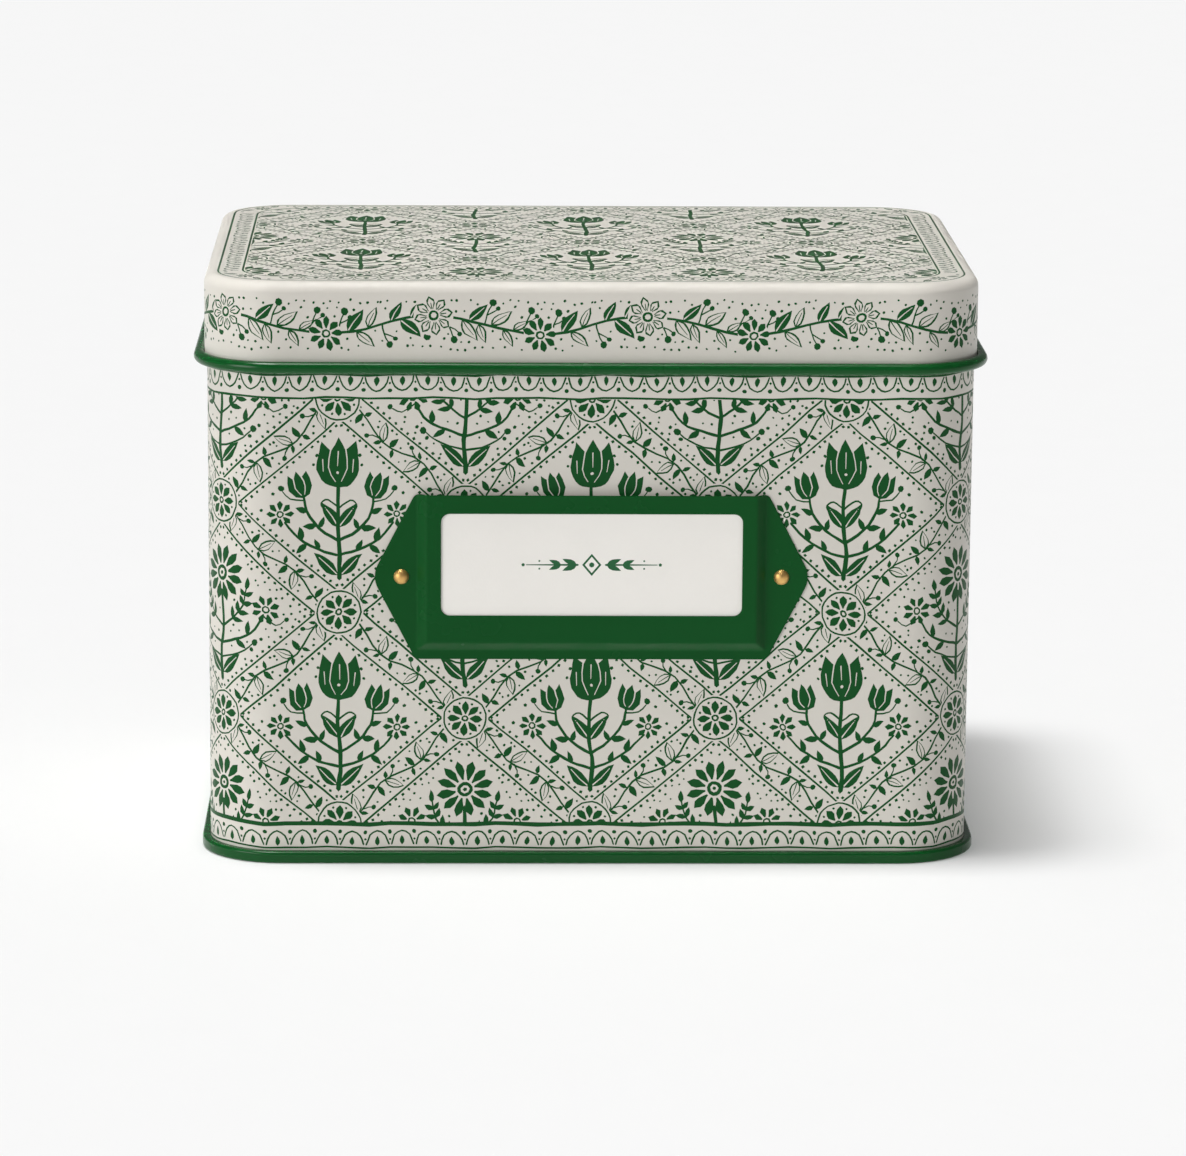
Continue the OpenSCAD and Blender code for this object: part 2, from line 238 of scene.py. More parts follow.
def vine(long, waves, amp, rng, side=1):
    """Wandering stem with lined leaves, berries and dots in a band along x."""
    k = 2 * math.pi * waves / long
    xs = np.linspace(0, long, int(waves * 7) + 1)
    g = stroke([(x, side * amp * math.sin(k * x)) for x in xs], .44, .44, 1)
    n = int(waves * 2)
    for i in range(n):
        x, up = (i + .5) * long / n, side * (1 - i % 2 * 2)
        y = up * amp
        g += line_leaf(x + .2, y, -up * 60 + rng.uniform(-7, 7), 4.9, 2.3, -.12 * up, .34)
        g += leaf(x - 1.6, y - up * .2, -up * 104, 3.1, 1.45, .1 * up)
        g += leaf(x - 2.4, y - up * .35, up * 118, 2.2, 1.1) + leaf(x + .6, y, up * 52, 2.0, 1.0)
        g += stroke([(x + 1.4, y - up * .3), (x + 3.0, y + up * .3), (x + 3.7, y + up * 1.0)], .34, .26, 1)
        g += disc(x + 3.9, y + up * 1.25, .6)

    def free(x, y):
        return 3.6 < x + long / 2 < long - 3.6 and abs(y) < 2.95

    dots = stipple(free, long / 2, 3.1, 1.75, put(g, -long / 2), rng, .62)
    return g + put(dots, long / 2)


def inside(p, outline):
    """Which of the points p lie inside an outline."""
    x, y = p[:, 0], p[:, 1]
    out = np.zeros(len(p), bool)
    for (x0, y0), (x1, y1) in zip(outline, np.roll(outline, -1, 0)):
        if y0 != y1:
            out ^= ((y0 > y) != (y1 > y)) & (x < (x1 - x0) * (y - y0) / (y1 - y0) + x0)
    return out


def stipple(test, w, h, pitch, keep_off, rng, room=.75):
    """Seeded dots over a box, where test allows and clear of the shapes in keep_off by room."""
    p = []
    rows = int(2 * h / (pitch * .87))
    for j in range(rows):
        for i in range(int(2 * w / pitch) + 1):
            x = -w + (i + .5 * (j % 2)) * pitch + rng.uniform(-.26, .26) * pitch
            y = -h + (j + .5) * 2 * h / rows + rng.uniform(-.26, .26) * pitch
            if test(x, y):
                p.append((x, y))
    p = np.array(p)
    free = np.ones(len(p), bool)
    for q, ink in keep_off:
        if not ink:
            continue
        a, b = q, np.roll(q, -1, 0)
        near = (np.abs(p - q.mean(0)).max(1) < np.abs(q - q.mean(0)).max() + 2)
        idx = np.where(near & free)[0]
        if len(idx) == 0:
            continue
        d = b - a
        t = np.clip(((p[idx][:, None] - a) * d).sum(2) / np.maximum((d * d).sum(1), 1e-12), 0, 1)
        dist = np.linalg.norm(p[idx][:, None] - (a + t[..., None] * d), axis=2).min(1)
        free[idx[(dist < room) | inside(p[idx], q)]] = False
    return sum((disc(x, y, rng.uniform(.24, .36), n=5) for x, y in p[free]), [])


def wobble(p):
    """Bends an outline a little, as a line drawn by hand is."""
    x, y = p[:, 0], p[:, 1]
    dx = .16 * np.sin(.34 * y + 1.7 * np.sin(.13 * x)) + .07 * np.sin(1.15 * x + .83 * y)
    dy = .16 * np.sin(.29 * x + 1.4 * np.sin(.17 * y)) + .07 * np.sin(1.07 * y - .77 * x)
    dx += .05 * np.sin(2.3 * y - .9 * x)
    dy += .05 * np.sin(2.1 * x + 1.3 * y)
    return p + np.stack([dx, dy], 1)


def clip(p, window):
    """What lies inside a convex window, given counterclockwise."""
    for a, b in zip(window, np.roll(window, -1, 0)):
        d = b - a
        side = d[0] * (p[:, 1] - a[1]) - d[1] * (p[:, 0] - a[0])
        if (side >= 0).all():
            continue
        out = []
        for i in range(len(p)):
            j = (i + 1) % len(p)
            if side[i] >= 0:
                out.append(p[i])
            if (side[i] >= 0) != (side[j] >= 0):
                out.append(p[i] + (p[j] - p[i]) * side[i] / (side[i] - side[j]))
        if len(out) < 3:
            return None
        p = np.array(out)
    return p


def bounded(shapes, window):
    """Bends the shapes as a hand does, then keeps what lies in the window."""
    out = []
    for p, ink in shapes:
        q = clip(wobble(p), window)
        if q is not None:
            out.append((q, ink))
    return out


def box_window(x0, y0, x1, y1):
    return np.array([(x0, y0), (x1, y0), (x1, y1), (x0, y1)], float)


def round_window(w, h, r):
    """Rounded rectangle about 0, 0, of half width w and half height h."""
    a = np.linspace(0, math.pi / 2, 10)
    corners = ((1, 1, 0), (-1, 1, math.pi / 2), (-1, -1, math.pi), (1, -1, -math.pi / 2))
    return np.vstack([np.stack([sx * (w - r) + r * np.cos(a + t), sy * (h - r) + r * np.sin(a + t)], 1)
                      for sx, sy, t in corners])


def lattice(cols, rows, wide, high, rng):
    """Diamond trellis: tulip cells at whole columns and rows, stippled daisy cells between them."""
    a, b = wide / 2, high / 2
    long, lean = math.hypot(a, b), math.degrees(math.atan2(b, a))
    k = 1 - 5.0 * long / (a * b)
    tulips, daisies = tulip_sprig(), daisy_sprig()
    dots = stipple(lambda x, y: abs(x) / a + abs(y) / b < k - .015, a, b, 2.1, daisies, rng)
    bands = []
    for side in (1, -1):
        v = vine(long, 2, 1.15, rng, side)
        for y in (3.55, -3.55):
            v += stroke([(x, y) for x in np.linspace(0, long, 6)], .44, .44, 1)
        n = int(long / 1.75)
        for i in range(n):
            for y in (4.4, -4.4):
                v += disc((i + .5) * long / n, y, .4, n=4)
        bands.append(v)
    low, mid, top = [], [], []
    for i in cols:
        for j in rows:
            x, y = i * wide, j * high
            low += put(tulips, x, y) + put(daisies + dots, x + a, y + b)
            for n, (px, py, t) in enumerate([(x + a, y, 180 - lean), (x, y + b, 180 + lean),
                                             (x - a, y, -lean), (x, y - b, lean)]):
                mid += put(bands[n % 2], px, py, t)
            for px, py in ((x + a, y), (x, y + b)):
                top += put(rosette(), px, py, rng.uniform(-4, 4))
    return low + mid + top


def scallops(long):
    """A row of scallops with buds and dots along x."""
    n = round(long / SCALLOP)
    p = long / n
    g = []
    for i in range(n):
        x = i * p
        arc = [(x + p * .05, .9), (x + p * .2, 3.1), (x + p * .5, 4.1), (x + p * .8, 3.1), (x + p * .95, .9)]
        g += stroke(arc, .4, .4, 2) + leaf(x + p / 2, .7, 90, 2.3, 1.2, n=3)
        g += disc(x + .01, 3.9, .5) + disc(x + .01, 2.2, .3, n=4)
    return g


def body_art():
    """The wall's print: the trellis between two borders of scallops."""
    rng = random.Random(11)
    long = length_round(R_BODY)
    half = long / 2 - BACK_GAP
    low, top = 9.3, 108.9
    high = (top - low) / 2
    g = put(lattice(range(-6, 6), (-1, 0, 1), long / 10, high, rng), 0, low + high / 2)
    g = bounded(g, box_window(-half, low, half, top))
    foot, mouth = 3.3, 114.9
    edge = put(scallops(long), -long / 2, foot)
    for p, ink in put(scallops(long), -long / 2, mouth):
        edge.append((np.stack([p[:, 0], 2 * mouth - p[:, 1]], 1), ink))
    for z, wide in ((3.45, .42), (9.1, 1.0), (109.1, .5), (114.7, 1.0)):
        edge += stroke([(x, z) for x in np.linspace(-long / 2, long / 2, 120)], wide, wide, 1)
    return g + bounded(edge, box_window(-half, 3.05, half, 115.15))


def skirt_cell(unit, rng):
    """One length of the skirt's vine: stem, leaves, berries on stalks, a large and a small daisy and dots."""
    swing, k = 2.1, 2 * math.pi / unit

    def stem(x):
        return swing * math.sin(k * x)

    def lean(x):
        return math.degrees(math.atan(swing * k * math.cos(k * x)))

    def free(x, y):
        return abs(x) < unit / 2 - .2 and abs(y) < 6.0

    leaves = ((2.6, 1, 5.2), (4.8, -1, 6.2), (7.0, 1, 3.4), (18.6, -1, 6.4), (20.4, 1, 5.6), (22.6, -1, 5.0),
              (25.4, 1, 6.0), (28.2, -1, 4.6), (30.2, 1, 4.6), (41.4, 1, 6.4), (43.4, -1, 5.6), (46.0, 1, 5.2))
    berries = ((9.2, -1, 4.2), (15.4, -1, 4.6), (33.0, 1, 4.6), (39.2, 1, 4.4), (24.0, 1, 4.6), (.8, -1, 4.4))
    cell = stroke([(x, stem(x)) for x in np.linspace(0, unit, 17)], .6, .6, 1)
    for x, up, size in leaves:
        turn = lean(x) + up * rng.uniform(46, 62)
        make = line_leaf if rng.random() < .62 else fat_leaf
        cell += make(x, stem(x), turn, size, size * .43, -.1 * up)
    for x, up, dy in berries:
        y = stem(x)
        fork = (x + .5, y + up * dy * .5)
        cell += stroke([(x, y), fork, (x + 1.5, y + up * dy)], .4, .32, 2)
        cell += disc(x + 1.7, y + up * (dy + .5), .85) + disc(x + 3.0, y + up * (dy - .8), .55)
        cell += stroke([fork, (x + 1.8, y + up * dy * .62), (x + 2.8, y + up * (dy - 1.1))], .34, .28, 1)
    q = unit / 4
    cell += disc(q, 2.0, 4.5, 0) + daisy(q, 2.0, 4.4, 8, .8, 12, True)
    cell += disc(3 * q, -2.2, 3.6, 0) + daisy(3 * q, -2.2, 3.9, 9, .74, 5)
    return cell + put(stipple(free, unit / 2, 6.2, 2.0, put(cell, -unit / 2), rng, .72), unit / 2)


def skirt_art():
    """The print of the lid's skirt: one cell of vine, repeated all round."""
    long, count, mid = length_round(R_LID), 12, 126.1
    unit = long / count
    cell = skirt_cell(unit, random.Random(5))
    g = sum((put(cell, -long / 2 + i * unit, mid) for i in range(count)), [])
    half = long / 2 - BACK_GAP
    return bounded(g, box_window(-half, 119.4, half, 132.8))


def top_art():
    """The print of the lid's top: two frame lines with scallops and corner daisies round a trellis."""
    rng = random.Random(3)
    w, h, r = CX + R_TOP - .5, CY + R_TOP - .5, R_TOP - .5
    lines = ((0, 0, 1), (.45, .45, 0), (5.6, 4, 1), (6.05, 4.4, 0))
    g = [(round_window(w - d, h - d, r - dr), ink) for d, dr, ink in lines]
    wide, high = 2 * (w - 6) / 3, h - 6
    cells = put(lattice((-2, -1, 0, 1), (-2, -1, 0, 1), wide, high, rng), 0, high / 2)
    row = []
    for long, x, y, turn in ((2 * (w - r), r - w, h, 0), (2 * (w - r), w - r, -h, 180),
                             (2 * (h - r), -w, r - h, 90), (2 * (h - r), w, h - r, -90)):
        row += put(put(scallops(long), 0, -SCALLOP), x, y, turn)
    for sx, sy in ((1, 1), (-1, 1), (-1, -1), (1, -1)):
        x, y, turn = sx * (w - r * .46), sy * (h - r * .46), math.degrees(math.atan2(-sx, sy))
        row += daisy(x, y, 2.2, 8, .7)
        for m, back in ((1, 0), (-1, 180)):
            row += put(fat_leaf(2.6, 0, 12 * m, 3.9, 1.6) + disc(7.4, -.9 * m, .45), x, y, turn + back)
    inner = bounded(cells, round_window(w - 6.3, h - 6.3, r - 4.6))
    return g + inner + bounded(row, round_window(w - .6, h - .6, r - .6))


def card_art():
    """A small lozenge between two leafy lines."""
    g = []
    for m in (1, -1):
        h = stroke([(3.2, 0), (9, 0), (15, 0)], .5, .2, 2)
        for x, long, wide in ((3.4, 3.6, 1.3), (7.0, 3.0, 1.1)):
            h += leaf(x, 0, 28, long, wide, -.1) + leaf(x, 0, -28, long, wide, .1)
        h += disc(15.7, 0, .4) + disc(12, .9, .25) + disc(12, -.9, .25)
        g += put(h, flip=m)
    for w, h, ink in ((2.2, 2.6, 1), (1.6, 1.9, 0)):
        g.append((np.array([(0, -h), (w, 0), (0, h), (-w, 0)]), ink))
    return g + disc(0, 0, .6)


# Sheet metal: a path with both of its sides, swept round the box

def turn_path(x, z, heading, moves):
    """Middle line of a sheet and the directions to its right. In moves a length goes straight and a
    pair (radius, degrees) turns left if positive."""
    p, a = np.array([x, z], float), math.radians(heading)
    rows = [(p, a)]
    for move in moves:
        if isinstance(move, tuple):
            r, deg = move
            side = 1 if deg > 0 else -1
            c = p + r * side * np.array([-math.sin(a), math.cos(a)])
            n = max(3, int(abs(deg) / 15))
            for k in range(1, n + 1):
                b = a + math.radians(deg) * k / n
                rows.append((c - r * side * np.array([-math.sin(b), math.cos(b)]), b))
            p, a = rows[-1]
        else:
            p = p + move * np.array([math.cos(a), math.sin(a)])
            rows.append((p, a))
    pts = np.array([q for q, _ in rows])
    right = np.array([(math.sin(b), -math.cos(b)) for _, b in rows])
    return pts, right


def longest_step(pts):
    """The path's longest step, which carries the print."""
    return int(np.argmax(np.linalg.norm(np.diff(pts, axis=0), axis=1)))


def ring_at(s, r):
    """Corner middles and outward directions at lengths s along a rounded rectangle, 0 at the front."""
    q = math.pi * r / 2
    a, sign = np.abs(s), np.where(s < 0, -1.0, 1.0)
    b = a - CX - q
    c = b - 2 * CY - q
    t1, t2 = np.clip((a - CX) / r, 0, math.pi / 2), np.clip((b - 2 * CY) / r, 0, math.pi / 2)
    x = np.where(a < CX, a, np.where(c > 0, CX - c, CX))
    y = np.where(b < 0, -CY, np.minimum(b - CY, CY))
    nx = np.where(b < 0, np.sin(t1), np.cos(t2))
    ny = np.where(b < 0, -np.cos(t1), np.sin(t2))
    return np.stack([sign * x, y], -1), np.stack([sign * nx, ny], -1)


def stations(r, steps, extra=()):
    """Lengths along the ring where every row of a swept mesh has a point, from the back to the back.
    extra lists further ones by their distance from the middle of the back."""
    q = math.pi * r / 2
    half = [0, CX + q + CY] + [CX + q * k / steps for k in range(steps + 1)]
    half += [CX + q + 2 * CY + q * k / steps for k in range(steps + 1)]
    half += [CX + 2 * q + 2 * CY + (CX - x) for x in extra]
    half = sorted(set(round(v, 6) for v in half))
    return np.array([-length_round(r) / 2] + [-v for v in reversed(half) if v] + half + [length_round(r) / 2])


# Places on the map for baking: strips for the two sides of a sheet, one spot for all of its edges, and
# half the length and half the depth of the level areas
STRIPS = {1: (.72, .84), -1: (.86, .98)}
EDGE_SPOT = (.5, .995)
MAP_X, MAP_Y = 87, 62


def from_above(x, y, shift=0):
    """Place on the map of a point of a level area, given its place seen from above."""
    return (.01 + (x + MAP_X) / (2 * MAP_X) * .48 + shift, .36 + (y + MAP_Y) / (2 * MAP_Y) * .34)


class Skin:
    """A mesh in the making: points, faces, a normal for each corner, slots and the map for baking."""

    def __init__(self):
        self.points, self.faces, self.normals, self.slots, self.maps = [], [], [], [], []

    def add_points(self, p):
        """Adds points and returns the number of the first."""
        first = len(self.points)
        self.points.extend(map(tuple, np.asarray(p, float)))
        return first

    def face(self, ids, normals, slot, uv=None):
        """Adds a face. normals are its corners', or one for them all. Without uv it is an edge's."""
        self.faces.append(tuple(int(i) for i in ids))
        self.normals.extend(normals if isinstance(normals, list) else [normals] * len(ids))
        self.slots.append(slot)
        self.maps.extend(uv or [EDGE_SPOT] * len(ids))

    def make(self, name, materials):
        me = bpy.data.meshes.new(name)
        me.from_pydata([tuple(v * METRES for v in p) for p in self.points], [], self.faces)
        for m in materials:
            me.materials.append(m)
        me.polygons.foreach_set("material_index", self.slots)
        me.polygons.foreach_set("use_smooth", [True] * len(self.faces))
        uv = me.uv_layers.new(name="OFBake")
        uv.data.foreach_set("uv", np.array(self.maps, np.float32).ravel())
        me.normals_split_custom_set([tuple(n) for n in self.normals])
        me.update()
        ob = bpy.data.objects.new(name, me)
        bpy.context.scene.collection.objects.link(ob)
        return ob


def unit_length(v):
    """The vector v at a length of 1."""
    return v / max(np.linalg.norm(v), 1e-9)


def area(p):
    """Area of an outline, less than 0 if its points run clockwise."""
    x, y = p[:, 0], p[:, 1]
    return float(np.sum(x * np.roll(y, -1) - y * np.roll(x, -1))) / 2


def thin(p, least=.008):
    """The outline p without the points that change its shape by less than an area of least."""
    for _ in range(2):
        if len(p) < 12:
            break
        a, b = np.roll(p, 1, 0) - p, np.roll(p, -1, 0) - p
        small = np.abs(a[:, 0] * b[:, 1] - a[:, 1] * b[:, 0]) / 2 < least
        keep = np.ones(len(p), bool)
        for i in range(len(p)):
            keep[i] = not (small[i] and keep[i - 1])
        p = p[keep]
    return p


# Shapes of less area than SPECK are left out, and points nearer to each other than MERGE become one
SPECK, MERGE = .004, 1e-4


def cut_up(border, art, lines=()):
    """Triangles of a flat convex area under its artwork: points, the border point that each is or -1,
    faces and their ink. lines are further cuts between two places or two border points."""
    n = len(border)
    pts, edges = [Vector(p) for p in border], [(k, (k + 1) % n) for k in range(n)]
    art = [(thin(p), ink) for p, ink in art if abs(area(p)) > SPECK]
    for p in [p for p, _ in art] + [np.array(q) for q in lines if not isinstance(q[0], int)]:
        first, k = len(pts), len(p)
        pts.extend(Vector(q) for q in p)
        edges += [(first + i, first + (i + 1) % k) for i in range(k if k > 2 else 1)]
    edges += [q for q in lines if isinstance(q[0], int)]
    out, _, tris, origin, _, _ = delaunay_2d_cdt(pts, edges, [], 0, MERGE, True)
    same = [next((i for i in o if i < n), -1) for o in origin]
    flat, tris = np.array([tuple(p) for p in out]), np.array(tris)
    mid = flat[tris].mean(1)
    order = np.argsort(mid[:, 0])
    xs, ink_of = mid[order, 0], np.zeros(len(tris), int)
    for p, ink in art:
        i, j = np.searchsorted(xs, (p[:, 0].min(), p[:, 0].max()))
        some = order[i:j]
        some = some[(mid[some, 1] > p[:, 1].min()) & (mid[some, 1] < p[:, 1].max())]
        if len(some):
            ink_of[some[inside(mid[some], p)]] = ink
    keep = inside(mid, np.asarray(border))
    return flat, same, tris[keep].tolist(), ink_of[keep].tolist()


class Sheet:
    """A sheet swept along the ring of radius r. slot(i, side) names the material of the path's step i
    on side 1, its right, or -1. cut lists the columns where the path starts later, and at which row."""

    def __init__(self, skin, path, r, cols, slot, cut=()):
        self.skin, self.r, self.cols, self.slot, self.cut = skin, r, cols, slot, dict(cut)
        self.pts, self.right = path
        self.n, self.m = len(self.pts), len(cols) - 1
        self.c, self.d = ring_at(cols[:self.m], r)
        self.first = {}
        for side in (1, -1):
            q = self.pts + self.right * side * SHEET / 2
            p = np.concatenate([self.c + self.d * (r + u) for u, _ in q])
            self.first[side] = skin.add_points(np.column_stack([p, np.repeat(q[:, 1], self.m)]))

    def row(self, i, side=1):
        """Number of the first point in the row of the path's point i."""
        return self.first[side] + i * self.m

    def columns(self, row):
        """Each column that is there from that row on, with the next."""
        return [(j, (j + 1) % self.m) for j in range(self.m) if row >= self.cut.get(j, 0)]

    def way(self, j, v):
        """The direction v in the plane of the path, turned to column j."""
        return (self.d[j][0] * v[0], self.d[j][1] * v[0], v[1])

    def sides(self, band=None):
        """Both sides, without the right one of the step band."""
        run = np.concatenate([[0], np.cumsum(np.linalg.norm(np.diff(self.pts, axis=0), axis=1))])
        for side, (lo, hi) in STRIPS.items():
            for i in range(self.n - 1):
                if side == 1 and i == band:
                    continue
                v0, v1 = (lo + (hi - lo) * run[i + q] / run[-1] for q in (0, 1))
                a, b = self.row(i, side), self.row(i + 1, side)
                here, there = self.right[i] * side, self.right[i + 1] * side
                for j, k in self.columns(i):
                    u0, u1 = .01 + .98 * j / self.m, .01 + .98 * (j + 1) / self.m
                    corners = [(a + j, self.way(j, here), (u0, v0)), (a + k, self.way(k, here), (u1, v0)),
                               (b + k, self.way(k, there), (u1, v1)), (b + j, self.way(j, there), (u0, v1))]
                    ids, ways, uv = zip(*corners[::side])
                    self.skin.face(ids, list(ways), self.slot(i, side), uv)

    def edge(self, i, sign):
        """The sheet's edge at the path's point i. sign is -1 at its start and 1 at its end."""
        a, b = self.row(i), self.row(i, -1)
        v = np.array([-self.right[i][1], self.right[i][0]]) * sign
        for j, k in self.columns(i):
            corners = [(a, j), (b, j), (b, k), (a, k)] if sign < 0 else [(a, j), (a, k), (b, k), (b, j)]
            ways = [self.way(q, v) for _, q in corners]
            self.skin.face([s + q for s, q in corners], ways, self.slot(min(i, self.n - 2), 1))

    def cut_edges(self):
        """The edges along the columns that are cut away."""
        for j, rows in self.cut.items():
            k = (j + 1) % self.m
            a, b = self.row(rows), self.row(rows, -1)
            self.skin.face([a + j, b + j, b + k, a + k], (0, 0, -1), self.slot(rows, 1))
            for col, sign, near in ((j, 1, j - 1), (k, -1, k)):
                if near in self.cut:
                    continue
                loop = [self.row(i) + col for i in range(rows + 1)]
                loop += [self.row(i, -1) + col for i in range(rows, -1, -1)]
                along = (-self.d[col][1] * sign, self.d[col][0] * sign, 0)
                self.skin.face(loop[::-sign], along, self.slot(0, 1))

    def print_on(self, band, art, lanes=(.01, .36, .33)):
        """The right side of the step band with its artwork. lanes are the feet of the bare and of the
        printed strip of the map and their height."""
        m, cols = self.m, self.cols
        z0, z1 = self.pts[band][1], self.pts[band + 1][1]
        border = [(s, z0) for s in cols] + [(s, z1) for s in cols[::-1]]
        flat, same, tris, inks = cut_up(border, art, [(j, 2 * m + 1 - j) for j in range(1, m)])
        c, d = ring_at(flat[:, 0], self.r)
        new = self.skin.add_points(np.column_stack([c + d * self.r, flat[:, 1]]))

        def point(k, b):
            """Number of point k, which is the swept sheet's own where b names a border point."""
            if b < 0:
                return new + k
            return self.row(band) + b % m if b <= m else self.row(band + 1) + (2 * m + 1 - b) % m

        ids = [point(k, b) for k, b in enumerate(same)]
        u = .01 + .98 * (flat[:, 0] - cols[0]) / (cols[-1] - cols[0])
        v = (flat[:, 1] - z0) / (z1 - z0)
        for tri, ink in zip(tris, inks):
            uv = [(u[q], lanes[ink] + lanes[2] * v[q]) for q in tri]
            self.skin.face([ids[q] for q in tri], [(d[q][0], d[q][1], 0) for q in tri], ink, uv)


# Flat pressings and cards

# The ink of a hole, and the width and the depth by which a front edge is eased
HOLE = 2
EASE_WIDTH, EASE_DEPTH = .14, .1


def plate(skin, outline, holes, art, folds, height, t, front_y, slots):
    """Closed sheet of thickness t facing the front, cut from an outline in x and z and raised by
    height(x, z), which bends at the folds. slots are the materials of front, print and back."""
    lines = loop_lines(inset(outline, EASE_WIDTH))
    for hole in holes:
        lines += loop_lines(inset(hole, -EASE_WIDTH))
    lines += folds
    flat, _, tris, inks = cut_up(outline, [(p, HOLE) for p in holes] + art, lines)
    tris = [(tri, ink) for tri, ink in zip(tris, inks) if ink < HOLE]
    used = sorted({q for tri, _ in tris for q in tri})
    place = {q: k for k, q in enumerate(used)}
    x, z = flat[used, 0], flat[used, 1]
    tris = [([place[q] for q in tri], ink) for tri, ink in tris]
    edges = dict.fromkeys((a, b) for tri, _ in tris for a, b in zip(tri, tri[1:] + tri[:1]))
    rim = [(a, b) for a, b in edges if (b, a) not in edges]

    e = .01
    n = np.stack([(height(x - e, z) - height(x + e, z)) / (2 * e),
                  (height(x, z - e) - height(x, z + e)) / (2 * e), np.ones(len(x))], 1)
    n /= np.linalg.norm(n, axis=1)[:, None]
    out = {}
    for a, b in rim:
        d = np.array([z[b] - z[a], -(x[b] - x[a])])
        for q in (a, b):
            out[q] = out.get(q, 0) + unit_length(d)
    drop, soft = np.zeros(len(x)), n.copy()
    for q in out:
        out[q] = unit_length(out[q])
        drop[q] = min(EASE_DEPTH, t / 3)
        soft[q] = (out[q][0] * .7, out[q][1] * .7, .7)

    h = height(x, z)
    top = skin.add_points(np.stack([x, front_y - (h - drop), z], 1))
    low = skin.add_points(np.stack([x - n[:, 0] * t, front_y - (h - n[:, 2] * t), z - n[:, 1] * t], 1))
    x0, z0 = outline[:, 0].min(), outline[:, 1].min()
    size = np.ptp(outline[:, 0])
    uv = np.stack([(x - x0) / size * .46 + .02, (z - z0) / size * .46 + .02], 1)
    for tri, ink in tris:
        nn = [(soft[q][0], -soft[q][2], soft[q][1]) for q in tri]
        shift = (.5, 0) if ink else (0, 0)
        skin.face([top + q for q in tri], nn, slots[ink], [tuple(uv[q] + shift) for q in tri])
        back = tri[::-1]
        nn = [(-n[q][0], n[q][2], -n[q][1]) for q in back]
        skin.face([low + q for q in back], nn, slots[2], [tuple(uv[q] + (0, .5)) for q in back])
    for a, b in rim:
        (ax, az), (bx, bz) = out[a], out[b]
        nn = [(ax * .9, -.2, az * .9), (ax, 0, az), (bx, 0, bz), (bx * .9, -.2, bz * .9)]
        skin.face([top + a, low + a, low + b, top + b], nn, slots[0], [(.75, .75)] * 4)


def rounded(corners):
    """Outline with rounded corners from (x, z, radius) rows given counterclockwise."""
    out = []
    p = np.array([c[:2] for c in corners], float)
    for i, (_, _, r) in enumerate(corners):
        a, b = p[i - 1] - p[i], p[(i + 1) % len(p)] - p[i]
        a, b = a / np.linalg.norm(a), b / np.linalg.norm(b)
        half = math.acos(max(-1, min(1, float(a @ b)))) / 2
        middle = p[i] + (a + b) / np.linalg.norm(a + b) * r / math.sin(half)
        s0, s1 = p[i] + a * r / math.tan(half) - middle, p[i] + b * r / math.tan(half) - middle
        t0 = math.atan2(s0[1], s0[0])
        turn = (math.atan2(s1[1], s1[0]) - t0 + math.pi) % (2 * math.pi) - math.pi
        k = max(4, int(abs(turn) * (3 + r)))
        ways = [t0 + turn * q / k for q in range(k + 1)]
        out += [middle + r * np.array([math.cos(t), math.sin(t)]) for t in ways]
    return np.array(out)


def rounded_box(x0, z0, x1, z1, r):
    return rounded([(x1, z1, r), (x0, z1, r), (x0, z0, r), (x1, z0, r)])


def inset(p, d):
    """The same outline, moved inward by d."""
    a, b = p - np.roll(p, 1, 0), np.roll(p, -1, 0) - p
    n = []
    for u, v in zip(a, b):
        u, v = unit_length(u), unit_length(v)
        w = unit_length(np.array([-u[1] - v[1], u[0] + v[0]]))
        n.append(w / max(.5, math.sqrt(max((1 + u @ v) / 2, 0))))
    return p + np.array(n) * d


def loop_lines(p):
    return list(zip(map(tuple, p), map(tuple, np.roll(p, -1, 0))))


# Finishes

